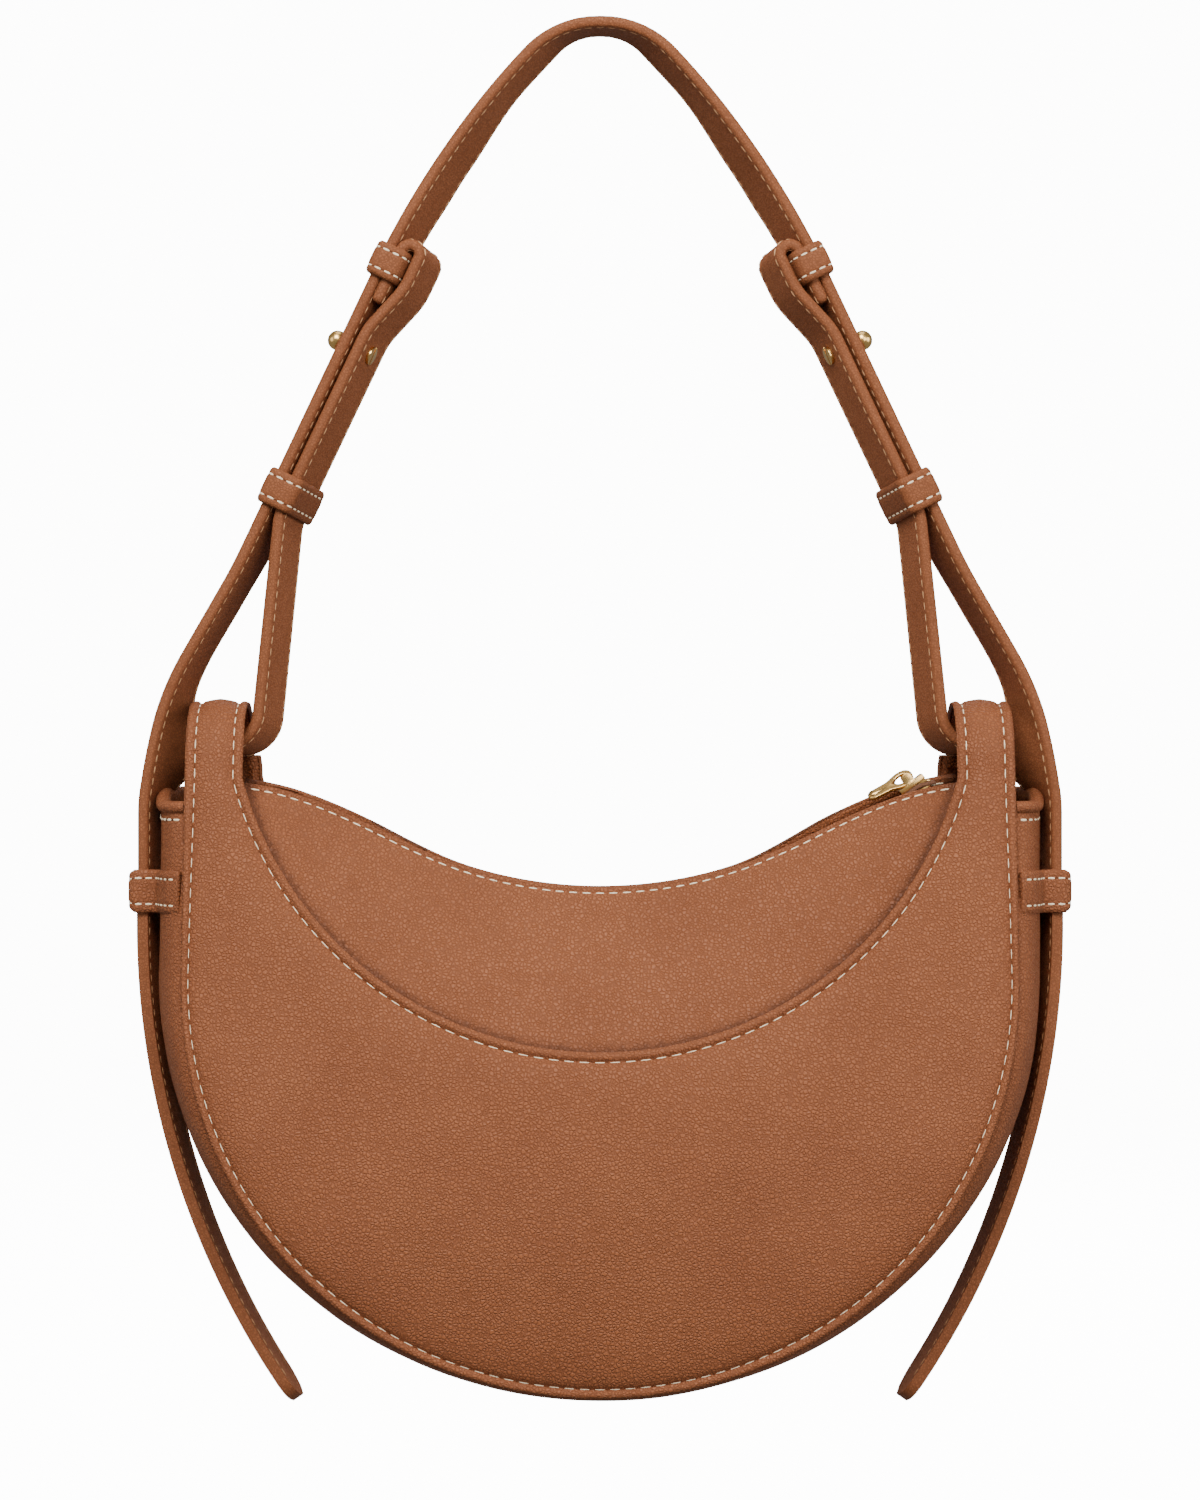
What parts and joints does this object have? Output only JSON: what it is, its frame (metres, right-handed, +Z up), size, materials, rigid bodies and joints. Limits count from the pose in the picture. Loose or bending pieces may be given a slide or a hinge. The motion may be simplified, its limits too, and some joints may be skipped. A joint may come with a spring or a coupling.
{
  "type": "half moon shoulder bag",
  "caption": "Half moon leather shoulder bag with a crescent front, curved zip mouth and folded horns that hold a doubled strap with studs, keepers and free tails.",
  "frame": {"origin": "underside of the strap at its highest point, where a hook or a shoulder carries it", "axes": "+X to the right of someone who faces the front, +Y through the bag to its back, +Z up"},
  "size_m": [0.3284, 0.082, 0.4862],
  "materials": {
    "panel_leather": "pebbled, soft sheen",
    "strap_leather": "smooth grain, soft sheen",
    "brass": "polished",
    "zip_tape": "woven tape",
    "lining_cloth": "matt woven cloth",
    "foam": "felted padding"
  },
  "bodies": {
    "strap": {"shoulder_strap": "strap_leather", "left_lower_strap": "strap_leather", "left_upper_keeper": "strap_leather", "left_stud_ball": "brass", "left_stud_screw": "brass", "right_lower_strap": "strap_leather", "right_upper_keeper": "strap_leather", "right_stud_ball": "brass", "right_stud_screw": "brass"},
    "bag": {"front_crescent": "panel_leather", "back_crescent": "panel_leather", "front_yoke": "panel_leather", "back_yoke": "panel_leather", "gusset": "panel_leather", "front_padding": "foam", "back_padding": "foam", "lining": "lining_cloth", "front_zip_tape": "zip_tape", "back_zip_tape": "zip_tape", "front_zip_teeth": "brass", "back_zip_teeth": "brass", "zip_end_stops": "brass", "left_gusset_binding": "panel_leather", "left_side_loop": "panel_leather", "left_horn_filler": "foam", "left_strap_drop": "strap_leather", "right_gusset_binding": "panel_leather", "right_side_loop": "panel_leather", "right_horn_filler": "foam", "right_strap_drop": "strap_leather"},
    "slider": {"zip_slider": "brass"},
    "puller": {"zip_puller": "brass"},
    "left_tail": {"left_strap_tail": "strap_leather"},
    "right_tail": {"right_strap_tail": "strap_leather"},
    "left_keeper": {"left_lower_keeper": "strap_leather"},
    "right_keeper": {"right_lower_keeper": "strap_leather"}
  },
  "joints": [
    {"name": "bag_swing", "type": "hinge", "parent": "strap", "child": "bag", "pos_m": [0, 0, -0.2505], "axis": [1, 0, 0], "range_deg": [-40, 40]},
    {"name": "zip_slide", "type": "hinge", "parent": "bag", "child": "slider", "pos_m": [0, 0, -0.12526], "axis": [0, 1, 0], "range_deg": [0, 70]},
    {"name": "pull_flip", "type": "hinge", "parent": "slider", "child": "puller", "pos_m": [0.10745, 0, -0.26182], "axis": [0, 1, 0], "range_deg": [0, 100]},
    {"name": "left_tail_swing", "type": "hinge", "parent": "bag", "child": "left_tail", "pos_m": [-0.1593, 0, -0.3107], "axis": [0, 1, 0], "range_deg": [0, 35], "stiffness_Nm_per_rad": 0.2},
    {"name": "right_tail_swing", "type": "hinge", "parent": "bag", "child": "right_tail", "pos_m": [0.1593, 0, -0.3107], "axis": [0, -1, 0], "range_deg": [0, 35], "stiffness_Nm_per_rad": 0.2},
    {"name": "left_keeper_slide", "type": "slide", "parent": "strap", "child": "left_keeper", "axis": [0.4291, 0, 0.9032], "range_m": [0, 0.035]},
    {"name": "right_keeper_slide", "type": "slide", "parent": "strap", "child": "right_keeper", "axis": [-0.4291, 0, 0.9032], "range_m": [0, 0.035]}
  ]
}
